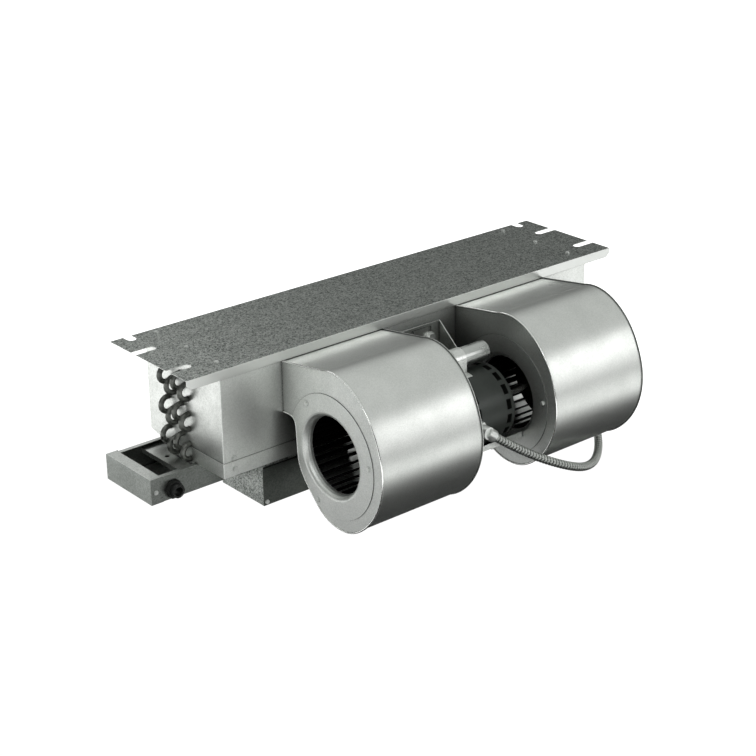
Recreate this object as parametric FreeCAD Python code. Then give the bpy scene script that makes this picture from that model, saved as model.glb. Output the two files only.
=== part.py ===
import FreeCAD, Part
import math
import os
from FreeCAD import Vector

os.makedirs("parts", exist_ok=True)

# Frame: origin at the centre of the top face of the top panel
# +X runs along the unit, +Y towards the duct, -Y towards the blowers, +Z up

# Sheet metal and general clearances
sheet = 1.2
scroll_sheet = 1.0
seat = 0.1
slip = 0.3
shaft_fit = 0.03

# Top panel with its front lip and hanging slots
panel_length = 900.0
panel_depth = 208.0
lip_height = 16.0
lip_chamfer = 7.0
slot_width = 14.0
slot_reach = 40.0
slot_front_y = -57.0
slot_rear_y = 38.0
notch_width = 15.0
notch_reach = 20.0
notch_inset = 31.5
panel_screw_inset = 75.0
panel_screw_rows = (-74.0, 5.5, 88.0)

# Casing
casing_length = 780.0
casing_depth = 200.0
casing_height = 179.5
tray_flange = 25.0
tray_reach = 82.0
tray_end_reach = 84.0
end_slope_start = 120.0
end_rear_height = 162.0
flange = 16.0

# Duct collar
collar_reach = 25.0
collar_inset = 30.0
collar_top = 24.0
collar_bottom = 146.0

# Coil: staggered rows of tube joined by bends
tube_d = 9.0
tube_pitch = 25.4
row_pitch = 18.0
row_count = 4
tubes_per_row = 6
first_row = 89.3
high_tube = 37.3
stagger = 12.7
bend_stub = 0.5
bend_leg = 1.5
fin_edge = 7.0
coil_bottom = 184.0
tab_bottom = 185.9
header_d = 15.9
header_cap = 7.0
header_reach = 40.0
stub_socket_d = 19.0
stub_socket_length = 14.0
vent_hex = 14.0
vent_height = 9.0
vent_cap_d = 11.0
stub_length = 42.0

# Drain pan
pan_left = 480.0
pan_right = 440.0
pan_front = 69.3
pan_width = 123.7
pan_depth = 42.0
pan_lip = 8.0
cap_wrap = 22.0
cap_top_flange = 20.0
pan_floor_slope = 4.0
pan_bridge_x = 417.0
pan_bridge_width = 38.0
pan_bridge_drop = 6.5
pan_bridge_hole = 8.0
hanger_pitch = 300.0
hanger_width = 30.0
hanger_overlap = 14.0
drain_x = 439.3
drain_drop = 25.0
drain_bore = 15.0
drain_thread_d = 19.0
drain_length = 22.0
drain_hex = 26.0
drain_nut = 7.0

# Junction box under the front of the casing
box_left = 319.0
box_length = 510.0
box_depth = 68.0
box_step_depth = 110.0
box_height = 70.0
box_lip = 9.0
knockout_d = 22.2
terminal_inset = 90.0
terminal_count = 6
terminal_pitch = 12.6
terminal_wall = 2.2
terminal_back = 20.0
terminal_depth = 22.0
terminal_height = 16.0
terminal_step = 7.0
power_inset = 45.0

# Blowers
fan_middle = 4.5
fan_spacing = 359.0
fan_reach = 117.4
fan_drop = 136.5
housing_width = 200.0
outlet_top = 17.0
outlet_bottom = 99.5
cutoff_radius = 15.0
cutoff_reach = 18.0
seam_rise = 2.0
scroll_start = 82.0
scroll_radii = ((82, 136.0), (108, 136.6), (119, 132.8), (135, 127.0), (153, 121.4),
                (171, 119.8), (200, 118.0), (230, 118.5), (250, 119.0), (268, 113.5),
                (283, 106.0), (302, 93.5), (322, 89.0), (340, 86.0))
ring_outer = 100.0
ring_sheet = 1.2
ring_bolt_radius = 90.0
ring_screw_first = 51.6
bell_start = 71.0
throat = 62.0
bell_depth = 14.0
side_hole = 79.0

# Blower wheel
wheel_outer = 76.0
wheel_inner = 65.0
wheel_gap = 3.0
blade_count = 36
blade_sheet = 0.8
blade_turn = 34.0
wheel_plate = 1.5
hub_d = 30.0
hub_length = 26.0

# Motor
motor_d = 127.0
motor_length = 86.0
shell_wall = 1.6
vent_count = 16
vent_long = 9.5
vent_round = 15.0
vent_inset = 11.0
vent_phase = 0.34
shaft_d = 12.7
bearing_d = 28.0
bearing_length = 11.0
bell_rise = 9.0
bell_rim = 1.9
winding_inset = 12.5
stator_length = 40.0
rotor_d = 68.0
air_gap = 0.4

# Motor bracket and shelf
bracket_shift = 2.8
bracket_width = 82.0
bracket_top = 31.8
bracket_slope = 0.832
bracket_bottom = 153.5
bracket_sheet = 1.5
gusset_gap = 2.0
bracket_slot_pitch = 38.0
bracket_slot_top = 37.0
bracket_slot_length = 32.0
bracket_slot_width = 6.6
bracket_bolt_drop = 55.8
motor_sink = 5.1
stud_pitch_x = 48.0
stud_pitch_y = 64.0
shelf_sheet = 1.5
shelf_front = 164.0
shelf_lip = 9.7
stud_d = 6.0
stud_length = 10.0
nut_width = 10.0
nut_height = 5.0
bolt_head = 13.0
bolt_head_height = 5.0
washer_d = 19.0
washer_height = 1.5

# Run capacitor on the motor
capacitor_d = 32.0
capacitor_length = 84.0
capacitor_stand = 4.52
capacitor_lean = math.radians(8.487)
capacitor_crimp = 2.0
strap_width = 22.0
strap_sheet = 1.2
strap_offset = -18.5

# Flexible conduit
conduit_d = 14.5
conduit_bend = 0.45
fitting_drop = 141.0
fitting_shift = -36.5
fitting_stand = 19.0
fitting_d = 20.0
fitting_nut = 26.0
stem_d = 8.0
fitting_outlet = 17.0
box_fitting_reach = 24.0

# Screws
screw_head = 8.0
screw_head_height = 2.4

# Facets of turned pieces and of pieces that repeat
lathe_sides = 48
ring_sides = 60
tube_sides = 10
bend_steps = 8
rim_sides = 12

# Places worked out from the dimensions above
panel_front = -panel_depth / 2
deck_y = panel_front + sheet
casing_half = casing_length / 2
casing_back = deck_y + casing_depth
axis_y = deck_y - fan_reach
axis_z = -fan_drop
fan_left = fan_middle - fan_spacing / 2
fan_right = fan_middle + fan_spacing / 2
fan_centres = (fan_left, fan_right)
motor_left = fan_middle - motor_length / 2
motor_right = fan_middle + motor_length / 2
bracket_middle = fan_middle + bracket_shift
shelf_top = axis_z - motor_d / 2 + motor_sink
capacitor_out = motor_d / 2 + capacitor_d / 2 + capacitor_stand
capacitor_y = axis_y + capacitor_out * math.sin(capacitor_lean)
capacitor_z = axis_z + capacitor_out * math.cos(capacitor_lean)
shelf_left = fan_left + housing_width / 2
shelf_right = fan_right - housing_width / 2
pan_y = deck_y + pan_front
pan_back = pan_y + pan_width
pan_top = -casing_height
box_front = deck_y
box_top = -casing_height
box_right = -box_left + box_length
box_step_top = pan_top - pan_depth - slip
tube_rows = tuple(deck_y + first_row + row * row_pitch for row in range(row_count))

# Route of the conduit, chosen by hand from motor fitting to junction box
fitting_x = fan_middle + fitting_shift
fitting_y = axis_y - motor_d / 2 - fitting_stand
fitting_z = -fitting_drop
conduit_aim = Vector(0.80, -0.10, -0.60).normalize()
conduit_start = Vector(fitting_x, fitting_y, fitting_z) + conduit_aim * fitting_outlet
box_entry = Vector(box_right + box_fitting_reach, box_front + box_depth / 2, box_top - box_height / 2)
conduit_route = (
    conduit_start,
    conduit_start + conduit_aim * 78.0,
    Vector(139.0, -327.0, -249.0),
    Vector(210.0, -306.0, -275.0),
    Vector(271.0, -264.0, -277.0),
    Vector(315.0, -212.0, -258.0),
    Vector(330.0, -154.0, -237.0),
    Vector(313.0, -98.0, -220.0),
    box_entry + Vector(53.0, 0, 0),
    box_entry,
)


def box(x0, x1, y0, y1, z0, z1):
    return Part.makeBox(x1 - x0, y1 - y0, z1 - z0, Vector(x0, y0, z0))


def rod(start, direction, radius, length):
    return Part.makeCylinder(radius, length, start, direction)


def rod_x(x0, x1, y, z, radius):
    return rod(Vector(x0, y, z), Vector(1, 0, 0), radius, x1 - x0)


def prism_x(points, x0, x1):
    outline = [Vector(x0, y, z) for y, z in points]
    face = Part.Face(Part.makePolygon(outline + outline[:1]))
    return face.extrude(Vector(x1 - x0, 0, 0))


def closed_solid(rings, looped):
    """Solid with flat faces between successive rings of points."""
    faces = []
    count = len(rings[0])
    last = len(rings) if looped else len(rings) - 1
    for index in range(last):
        first = rings[index]
        second = rings[(index + 1) % len(rings)]
        for corner in range(count):
            following = (corner + 1) % count
            loop = [first[corner], first[following], second[following], second[corner], first[corner]]
            faces.append(Part.Face(Part.makePolygon(loop)))
    if not looped:
        for ring in (rings[0], rings[-1]):
            faces.append(Part.Face(Part.makePolygon(ring + ring[:1])))
    solid = Part.makeSolid(Part.makeShell(faces))
    if solid.Volume < 0:
        solid.reverse()
    return solid


def turned_x(profile, y, z, sides=lathe_sides):
    """Turn a closed profile of (x, radius) points about an axis along X, with flat facets."""
    rings = []
    for index in range(sides):
        a = 2 * math.pi * (index + 0.5) / sides
        rings.append([Vector(x, y + radius * math.cos(a), z + radius * math.sin(a))
                      for x, radius in profile])
    return closed_solid(rings, True)


def faceted_rod(start, direction, radius, length, sides=tube_sides):
    """Straight bar with flat facets, for pieces that repeat many times."""
    along = Vector(direction).normalize()
    across = Vector(0, 0, 1) if abs(along.z) < 0.9 else Vector(0, 1, 0)
    across = (across - along * across.dot(along)).normalize()
    other = along.cross(across)
    outline = []
    for index in range(sides):
        a = 2 * math.pi * (index + 0.5) / sides
        outline.append(start + across * (radius * math.cos(a)) + other * (radius * math.sin(a)))
    return Part.Face(Part.makePolygon(outline + outline[:1])).extrude(along * length)


def hexagon(start, direction, width, height):
    """Hexagonal bar of the given width across flats."""
    corner = width / math.sqrt(3)
    outline = [Vector(corner * math.cos(math.radians(a)), corner * math.sin(math.radians(a)), 0)
               for a in range(0, 360, 60)]
    bar = Part.Face(Part.makePolygon(outline + outline[:1])).extrude(Vector(0, 0, height))
    bar.Placement = FreeCAD.Placement(start, FreeCAD.Rotation(Vector(0, 0, 1), direction))
    return bar


def screw(seat_point, outward):
    """Hexagonal washer head of a sheet metal screw on its seat."""
    rim = faceted_rod(seat_point, outward, screw_head / 2, screw_head_height * 0.35, rim_sides)
    head = hexagon(seat_point, outward, screw_head * 0.72, screw_head_height)
    return rim.fuse(head).removeSplitter()


def obround_z(x, y, length, width, z0, z1):
    """Cutter for an open slot along X, from x towards +length, round at its inner end."""
    reach = abs(length) - width / 2
    side = 1 if length > 0 else -1
    inner = x + side * reach
    body = box(min(x - side, inner), max(x - side, inner), y - width / 2, y + width / 2, z0, z1)
    return body.fuse(rod(Vector(inner, y, z0), Vector(0, 0, 1), width / 2, z1 - z0))


def keep(name, shapes):
    """Write one sub-part, made of one or more separate solids."""
    solids = []
    for shape in shapes:
        solids += shape.Solids
    body = solids[0] if len(solids) == 1 else Part.makeCompound(solids)
    if not body.isValid():
        print("not valid:", name)
    body.exportStep("parts/" + name + ".step")


def tube_heights(row):
    """Heights of the tubes of a row, top first. Alternate rows are staggered."""
    top = -high_tube - (stagger if row % 2 == 0 else 0)
    return [top - index * tube_pitch for index in range(tubes_per_row)]


def tube_places():
    return [(row, tube_rows[row], z) for row in range(row_count) for z in tube_heights(row)]


def coil_tube(x0, x1, y, z, clearance=0.0):
    return faceted_rod(Vector(x0, y, z), Vector(1, 0, 0), tube_d / 2 + clearance, x1 - x0)


def tube_cutters(x0, x1, clearance):
    return Part.makeCompound([coil_tube(x0, x1, y, z, clearance) for row, y, z in tube_places()])


# Top panel
def top_panel():
    half = panel_length / 2
    plate = box(-half, half, panel_front, -panel_front, -sheet, 0)
    lip = box(-half, half, panel_front, deck_y, -lip_height, -sheet)
    panel = plate.fuse(lip)
    for side in (-1, 1):
        edge = side * half
        corner = [(edge, -lip_height), (edge, -lip_height + lip_chamfer), (edge - side * lip_chamfer, -lip_height)]
        outline = [Vector(x, panel_front - 1, z) for x, z in corner]
        panel = panel.cut(Part.Face(Part.makePolygon(outline + outline[:1])).extrude(Vector(0, 3, 0)))
        for y in (slot_front_y, slot_rear_y):
            panel = panel.cut(obround_z(edge, y, -side * slot_reach, slot_width, -sheet - 1, 1))
        x = edge - side * notch_inset
        round_y = -panel_front - notch_reach + notch_width / 2
        notch = box(x - notch_width / 2, x + notch_width / 2, round_y, -panel_front + 1, -sheet - 1, 1)
        notch = notch.fuse(rod(Vector(x, round_y, -sheet - 1), Vector(0, 0, 1), notch_width / 2, sheet + 2))
        panel = panel.cut(notch)
    return panel.removeSplitter()


# Casing
def end_plate(side):
    outer = side * casing_half
    inner = outer - side * sheet
    bottom = -casing_height + sheet
    outline = [(deck_y + sheet, -sheet), (casing_back, -sheet), (casing_back, -end_rear_height),
               (deck_y + end_slope_start, bottom), (deck_y + sheet, bottom)]
    plate = prism_x(outline, min(inner, outer), max(inner, outer))
    tab = box(min(inner, outer), max(inner, outer), tube_rows[0] - fin_edge, tube_rows[-1] + fin_edge,
              -tab_bottom, bottom + flange)
    plate = plate.fuse(tab)
    flange_x = outer - side * flange
    top = box(min(flange_x, inner), max(flange_x, inner), deck_y + sheet, casing_back - sheet,
              -2 * sheet, -sheet)
    plate = plate.fuse(top)
    plate = plate.cut(tube_cutters(min(inner, outer) - 1, max(inner, outer) + 1, seat))
    return plate.removeSplitter()


def fan_deck():
    deck = box(-casing_half, casing_half, deck_y, deck_y + sheet, -casing_height + sheet, -sheet)
    half = housing_width / 2 - scroll_sheet
    for x in fan_centres:
        deck = deck.cut(box(x - half, x + half, deck_y - 1, deck_y + sheet + 1,
                            -outlet_bottom + scroll_sheet, -outlet_top - scroll_sheet))
    for side in (-1, 1):
        start = Vector(bracket_middle + side * bracket_slot_pitch / 2, deck_y - 1, -bracket_bolt_drop)
        deck = deck.cut(rod(start, Vector(0, 1, 0), stud_d / 2 + slip, sheet + 2))
    return deck


def bottom_tray():
    outer = casing_half + sheet
    back = deck_y + tray_reach
    end_back = deck_y + tray_end_reach
    low = -casing_height
    high = low + tray_flange
    floor = box(-outer, outer, panel_front, back, low, low + sheet)
    front = box(-outer, outer, panel_front, deck_y, low + sheet, high)
    tray = floor.fuse(front)
    for side in (-1, 1):
        x0 = side * casing_half
        x1 = side * outer
        wall = box(min(x0, x1), max(x0, x1), deck_y, end_back, low, high)
        tray = tray.fuse(wall)
    return tray.removeSplitter()


def rear_frame():
    inner = casing_half - sheet
    frame = box(-inner, inner, casing_back - sheet, casing_back, -end_rear_height, -sheet)
    opening = casing_half - collar_inset
    return frame.cut(box(-opening, opening, casing_back - sheet - 1, casing_back + 1,
                         -collar_bottom, -collar_top))


def duct_collar():
    outer = casing_half - collar_inset
    start = casing_back - sheet
    end = casing_back + collar_reach
    sleeve = box(-outer, outer, start, end, -collar_bottom, -collar_top)
    hollow = box(-outer + sheet, outer - sheet, start - 1, end + 1,
                 -collar_bottom + sheet, -collar_top - sheet)
    return sleeve.cut(hollow)


def coil_fins():
    half = casing_half - sheet - slip
    low = -coil_bottom
    high = -high_tube + stagger
    block = box(-half, half, tube_rows[0] - fin_edge, tube_rows[-1] + fin_edge, low, high)
    return block.cut(tube_cutters(-half - 1, half + 1, 0))


def bend_between(side, first, second):
    """Return bend between two tube ends at one end of the coil: two legs and a half turn."""
    upper = Vector(0, *first)
    lower = Vector(0, *second)
    middle = (upper + lower) * 0.5
    across = (upper - lower).normalize()
    out = Vector(side, 0, 0)
    normal = across.cross(out)
    radius = (upper - lower).Length / 2
    face = side * (casing_half + bend_leg)
    shoulder = face + side * bend_stub
    places = [(upper + Vector(face, 0, 0), across)]
    for step in range(bend_steps + 1):
        a = math.pi * step / bend_steps
        spoke = across * math.cos(a) + out * math.sin(a)
        places.append((middle + Vector(shoulder, 0, 0) + spoke * radius, spoke))
    places.append((lower + Vector(face, 0, 0), across * -1))
    rings = []
    for centre, spoke in places:
        ring = []
        for corner in range(tube_sides):
            a = 2 * math.pi * (corner + 0.5) / tube_sides
            ring.append(centre + (spoke * math.cos(a) + normal * math.sin(a)) * (tube_d / 2))
        rings.append(ring)
    return closed_solid(rings, False)


def coil_tubes():
    reach = casing_half + bend_leg
    return [coil_tube(-reach, reach, y, z) for row, y, z in tube_places()]


def left_bends():
    bends = []
    for row in range(row_count):
        heights = tube_heights(row)
        for index in range(0, tubes_per_row, 2):
            bends.append(bend_between(-1, (tube_rows[row], heights[index]),
                                      (tube_rows[row], heights[index + 1])))
    return bends


def right_bends():
    """Crossovers that carry each circuit forward from row to row."""
    bends = []
    for index in range(0, tubes_per_row, 2):
        for row in range(1, row_count):
            step = index if row % 2 else index + 1
            bends.append(bend_between(1, (tube_rows[row], tube_heights(row)[step]),
                                      (tube_rows[row - 1], tube_heights(row - 1)[step])))
    return bends


def header_heights(row):
    return [tube_heights(row)[index] for index in range(1, tubes_per_row, 2)]


def header(row, stub_z):
    """Upright header with three feed tubes and one connection stub."""
    y = tube_rows[row]
    heights = header_heights(row)
    x = casing_half + header_reach
    body = rod(Vector(x, y, heights[-1] - header_cap), Vector(0, 0, 1), header_d / 2,
               heights[0] - heights[-1] + 2 * header_cap)
    for z in heights:
        body = body.fuse(coil_tube(casing_half + bend_leg, x, y, z))
    body = body.fuse(rod_x(x, x + stub_socket_length, y, stub_z, stub_socket_d / 2))
    return body.fuse(rod_x(x, x + stub_length, y, stub_z, header_d / 2)).removeSplitter()


def air_vent(row):
    """Vent valve screwed on top of a header."""
    top = header_heights(row)[0] + header_cap
    base = Vector(casing_half + header_reach, tube_rows[row], top)
    up = Vector(0, 0, 1)
    body = hexagon(base, up, vent_hex, vent_height)
    return body.fuse(rod(base, up, vent_cap_d / 2, 2 * vent_height)).removeSplitter()


# Drain pan
def drain_pan():
    x0 = -pan_left + sheet
    low = pan_top - pan_depth
    pan = box(x0, pan_right, pan_y, pan_back, low, pan_top)
    floor_left = low + sheet
    floor_right = floor_left + pan_floor_slope
    hollow_outline = [(x0 - 1, floor_left), (x0 - 1, pan_top + 1), (pan_right - sheet, pan_top + 1),
                      (pan_right - sheet, floor_right)]
    outline = [Vector(x, pan_y + sheet, z) for x, z in hollow_outline]
    hollow = Part.Face(Part.makePolygon(outline + outline[:1]))
    pan = pan.cut(hollow.extrude(Vector(0, pan_width - 2 * sheet, 0)))
    for y0, y1 in ((pan_y + sheet, pan_y + pan_lip), (pan_back - pan_lip, pan_back - sheet)):
        pan = pan.fuse(box(x0, pan_right - sheet, y0, y1, pan_top - sheet, pan_top))
    bore = rod(Vector(-drain_x, pan_y - 1, pan_top - drain_drop), Vector(0, 1, 0),
               drain_thread_d / 2 + seat, sheet + 2)
    return pan.cut(bore).removeSplitter()


def pan_end_cap():
    x0 = -pan_left
    x1 = x0 + cap_wrap
    low = pan_top - pan_depth
    cap = box(x0, x0 + sheet, pan_y - sheet, pan_back + sheet, low, pan_top + sheet)
    cap = cap.fuse(box(x0, x0 + cap_top_flange, pan_y - sheet, pan_back + sheet, pan_top, pan_top + sheet))
    for y0, y1 in ((pan_y - sheet, pan_y), (pan_back, pan_back + sheet)):
        cap = cap.fuse(box(x0, x1, y0, y1, low, pan_top + sheet))
    relief = box(x1 - 4, x1 + 1, pan_y - sheet - 1, pan_y, low + 7, pan_top - 6)
    return cap.cut(relief).removeSplitter()


def pan_bridge():
    x0 = -pan_bridge_x
    x1 = x0 + pan_bridge_width
    top = pan_top - pan_bridge_drop
    y0 = pan_y + sheet + seat
    y1 = pan_back - sheet - seat
    plate = box(x0, x1, y0, y1, top - sheet, top)
    edge = box(x0, x0 + sheet, y0, y1, top - flange * 0.5, top)
    hole_at = Vector(x0 + pan_bridge_width * 0.35, (y0 + y1) / 2 + 6, top - sheet - 1)
    hole = rod(hole_at, Vector(0, 0, 1), pan_bridge_hole / 2, sheet + 2)
    return plate.fuse(edge).cut(hole).removeSplitter()


def drain_fitting():
    """Threaded drain socket with its hexagon outside the pan and a nut inside."""
    z = pan_top - drain_drop
    ahead = Vector(0, -1, 0)
    outer = pan_y
    body = hexagon(Vector(-drain_x, outer, z), ahead, drain_hex, drain_hex * 0.35)
    body = body.fuse(rod(Vector(-drain_x, outer, z), ahead, drain_hex * 0.42, drain_length * 0.75))
    body = body.fuse(rod(Vector(-drain_x, outer, z), Vector(0, 1, 0), drain_thread_d / 2,
                         sheet + drain_nut + 2))
    bore = rod(Vector(-drain_x, outer - drain_length, z), Vector(0, 1, 0), drain_bore / 2,
               2 * drain_length)
    return body.cut(bore).removeSplitter()


def drain_nut_ring():
    z = pan_top - drain_drop
    ring = hexagon(Vector(-drain_x, pan_y + sheet, z), Vector(0, 1, 0), drain_hex * 0.86, drain_nut)
    return ring.cut(rod(Vector(-drain_x, pan_y, z), Vector(0, 1, 0), drain_thread_d / 2 + seat,
                        2 * drain_nut))


def pan_hangers():
    """Straps from the rear frame and end plates down to the rear lip of the pan."""
    straps = []
    top = -end_rear_height + hanger_overlap
    for x in (-hanger_pitch, 0.0, hanger_pitch):
        outline = [(casing_back, top), (casing_back + sheet, top),
                   (casing_back + sheet, pan_top),
                   (pan_back - pan_lip, pan_top), (pan_back - pan_lip, pan_top + sheet),
                   (casing_back, pan_top + sheet)]
        straps.append(prism_x(outline, x - hanger_width / 2, x + hanger_width / 2))
    return straps


# Junction box
def junction_box():
    x0 = -box_left
    low = box_top - box_height
    y1 = box_front + box_depth
    y2 = box_front + box_step_depth
    outline = [(box_front, box_top), (y1, box_top), (y1, box_step_top), (y2, box_step_top), (y2, low),
               (box_front, low)]
    body = prism_x(outline, x0, box_right)
    room = [(box_front - 1, box_top - sheet), (y1 - sheet, box_top - sheet),
            (y1 - sheet, box_step_top - sheet), (y2 - sheet, box_step_top - sheet),
            (y2 - sheet, low + sheet), (box_front - 1, low + sheet)]
    body = body.cut(prism_x(room, x0 + sheet, box_right - sheet))
    for z in (low + sheet, box_top - sheet - box_lip):
        body = body.fuse(box(x0 + sheet, box_right - sheet, box_front, box_front + sheet, z, z + box_lip))
    entry = rod_x(box_right - 3, box_right + 3, box_entry.y, box_entry.z, knockout_d / 2)
    power = rod(Vector(x0 + power_inset, box_entry.y, low - 1), Vector(0, 0, 1), knockout_d / 2, 4)
    return body.cut(entry).cut(power)


def box_cover():
    x0 = -box_left
    low = box_top - box_height
    top = box_top - 5.0
    plate = box(x0, box_right, box_front - sheet, box_front, low, top)
    hem = box(x0, box_right, box_front - 3 * sheet, box_front - sheet, top - sheet, top)
    return plate.fuse(hem).removeSplitter()


def box_screws():
    low = box_top - box_height
    outer = box_front - sheet
    return [screw(Vector(x, outer, low + 6), Vector(0, -1, 0))
            for x in (-box_left + 6, (box_right - box_left) / 2, box_right - 6)]


def terminal_block():
    low = box_top - box_height + sheet
    x0 = -box_left + terminal_inset
    x1 = x0 + terminal_count * terminal_pitch
    y0 = box_front + terminal_back
    y1 = y0 + terminal_depth
    step = low + terminal_height / 2
    top = low + terminal_height
    block = box(x0, x1, y0, y1, low, top)
    for index in range(terminal_count):
        left = x0 + index * terminal_pitch + terminal_wall
        right = left + terminal_pitch - 2 * terminal_wall
        block = block.cut(box(left, right, y0 - 1, y0 + terminal_step, step, top + 1))
        block = block.cut(box(left, right, y1 - terminal_step, y1 + 1, step, top + 1))
    return block


# Blowers
def scroll_point(angle, radius):
    a = math.radians(angle)
    return (axis_y + radius * math.cos(a), axis_z + radius * math.sin(a))


def scroll_outline(inset, x):
    """Outline of the scroll from the outlet top, round the spiral, to the outlet bottom."""
    spiral = [Vector(x, *scroll_point(angle, radius - inset)) for angle, radius in scroll_radii]
    curve = Part.BSplineCurve()
    curve.interpolate(spiral)
    lip_y = deck_y - cutoff_reach
    low = -outlet_bottom + inset
    bend = cutoff_radius + inset
    centre = Vector(x, lip_y, low - bend)
    tongue_end = Vector(x, lip_y - bend, low - bend)
    tongue = Part.Arc(tongue_end, centre + Vector(0, -bend, bend) * math.sqrt(0.5), Vector(x, lip_y, low))
    top = Vector(x, deck_y, -outlet_top - inset)
    bottom = Vector(x, deck_y, low)
    edges = [Part.LineSegment(top, spiral[0]).toShape(), curve.toShape(),
             Part.LineSegment(spiral[-1], tongue_end).toShape(), tongue.toShape(),
             Part.LineSegment(Vector(x, lip_y, low), bottom).toShape()]
    return edges, bottom, top


def scroll_solid(inset, x0, x1):
    edges, bottom, top = scroll_outline(inset, x0)
    closing = Part.LineSegment(bottom, top).toShape()
    return Part.Face(Part.Wire(edges + [closing])).extrude(Vector(x1 - x0, 0, 0))


def scroll_wrap(centre):
    half = housing_width / 2 - scroll_sheet
    outer = scroll_solid(0, centre - half, centre + half)
    inner = scroll_solid(scroll_sheet, centre - half - 1, centre + half + 1)
    return outer.cut(inner)


def scroll_side(centre, side):
    face = centre + side * (housing_width / 2 - scroll_sheet)
    outer = face + side * scroll_sheet
    x0 = min(face, outer)
    plate = scroll_solid(-seam_rise, x0, x0 + scroll_sheet)
    behind = box(x0 - 1, x0 + 3, deck_y, deck_y + 50, -300, 50)
    plate = plate.cut(behind)
    under_lip = box(x0 - 1, x0 + 3, panel_front - slip, deck_y + 1, -lip_height - slip, 0)
    plate = plate.cut(under_lip)
    return plate.cut(rod_x(x0 - 1, x0 + 3, axis_y, axis_z, side_hole))


def inlet_ring(centre, side):
    """Inlet ring: flat rim on the side plate, rolled in to a bell mouth."""
    face = centre + side * housing_width / 2
    inward = -side
    steps = 5
    bell = []
    for index in range(steps + 1):
        a = math.radians(90.0 * index / steps)
        bell.append((bell_start - (bell_start - throat) * math.sin(a), bell_depth * (1 - math.cos(a))))
    profile = [(face + side * ring_sheet, ring_outer)]
    profile += [(face + side * ring_sheet + inward * depth, radius) for radius, depth in bell]
    profile += [(x + inward * ring_sheet * 0.6, radius + ring_sheet * 0.8)
                for x, radius in reversed(profile[2:])]
    profile += [(face, bell_start + ring_sheet), (face, ring_outer)]
    ring = turned_x(profile, axis_y, axis_z, ring_sides)
    return ring.common(scroll_solid(0, centre - housing_width, centre + housing_width))


def ring_screws():
    heads = []
    for centre in fan_centres:
        for side in (-1, 1):
            x = centre + side * (housing_width / 2 + ring_sheet)
            for index in range(3):
                y, z = scroll_point(ring_screw_first + 120 * index, ring_bolt_radius)
                heads.append(screw(Vector(x, y, z), Vector(side, 0, 0)))
    return heads


def blower_wheel(centre):
    """Double inlet wheel with forward curved blades round a centre plate."""
    half = housing_width / 2 - bell_depth - wheel_gap
    chord = wheel_outer - wheel_inner
    bend = chord * 0.85
    mid = Vector(0, axis_y, axis_z)
    blade_parts = []
    inner = Vector(centre - half, axis_y + wheel_inner, axis_z)
    outer = Vector(centre - half, axis_y + wheel_outer - 0.6, axis_z + chord * math.sin(math.radians(blade_turn)))
    middle = (inner + outer) * 0.5 + Vector(0, bend * 0.12, -bend * 0.22)
    second = [point + Vector(0, 0, blade_sheet) for point in (inner, middle, outer)]
    outline = [inner, middle, outer] + second[::-1]
    blade = Part.Face(Part.makePolygon(outline + outline[:1])).extrude(Vector(2 * half, 0, 0))
    for index in range(blade_count):
        copy = blade.copy()
        copy.rotate(mid, Vector(1, 0, 0), 360.0 * index / blade_count)
        blade_parts.append(copy)
    plate = rod_x(centre - wheel_plate / 2, centre + wheel_plate / 2, axis_y, axis_z, wheel_outer)
    wheel = plate
    for side in (-1, 1):
        edge = centre + side * half
        x0 = min(edge, edge - side * 3.0)
        rim = rod_x(x0, x0 + 3.0, axis_y, axis_z, wheel_outer)
        rim = rim.cut(rod_x(x0 - 1, x0 + 4, axis_y, axis_z, wheel_inner + chord * 0.55))
        wheel = wheel.fuse(rim)
    wheel = wheel.fuse(blade_parts)
    hub = rod_x(centre - hub_length / 2, centre + hub_length / 2, axis_y, axis_z, hub_d / 2)
    wheel = wheel.fuse(hub)
    return wheel.cut(rod_x(centre - half, centre + half, axis_y, axis_z, shaft_d / 2 + shaft_fit))


def set_screws():
    screws = []
    for centre, side in ((fan_left, 1), (fan_right, -1)):
        x = centre + side * (hub_length / 2 - 5)
        screws.append(rod(Vector(x, axis_y, axis_z + hub_d / 2), Vector(0, 0, 1), 3, 4))
    return screws


# Motor
def motor_shell():
    shell = rod_x(motor_left, motor_right, axis_y, axis_z, motor_d / 2)
    shell = shell.cut(rod_x(motor_left - 1, motor_right + 1, axis_y, axis_z, motor_d / 2 - shell_wall))
    width = math.radians(vent_round) * motor_d / 2
    for x in (motor_left + vent_inset, motor_right - vent_inset):
        for index in range(vent_count):
            if index == 0 and x < fan_middle:
                continue
            cut = box(x - vent_long / 2, x + vent_long / 2, axis_y - motor_d, axis_y - motor_d / 4,
                      axis_z - width / 2, axis_z + width / 2)
            cut.rotate(Vector(0, axis_y, axis_z), Vector(1, 0, 0), 360.0 / vent_count * (index + vent_phase))
            shell = shell.cut(cut)
    y, z = axis_y - motor_d / 2, -fitting_drop
    return shell.cut(rod(Vector(fitting_x, y - 5, z), Vector(0, 1, 0), stem_d / 2 + seat, 12))


def motor_bell(side):
    """End bell: a dished cover with a raised bearing hub."""
    face = motor_right if side > 0 else motor_left
    inside = motor_d / 2 - shell_wall - seat
    hub = bearing_d / 2 + 4
    bore = bearing_d / 2 + shaft_fit
    rim = face - side * bell_rim
    profile = [(rim, inside), (face, inside), (face + side * bell_rise * 0.35, inside - 12),
               (face + side * bell_rise * 0.45, hub + 4), (face + side * bell_rise, hub),
               (face + side * bell_rise, bore), (face - side * 4, bore), (face - side * 4, hub),
               (face - side * shell_wall, hub + 5), (face - side * shell_wall, inside - 13), (rim, inside - 2)]
    return turned_x(profile, axis_y, axis_z)


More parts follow.
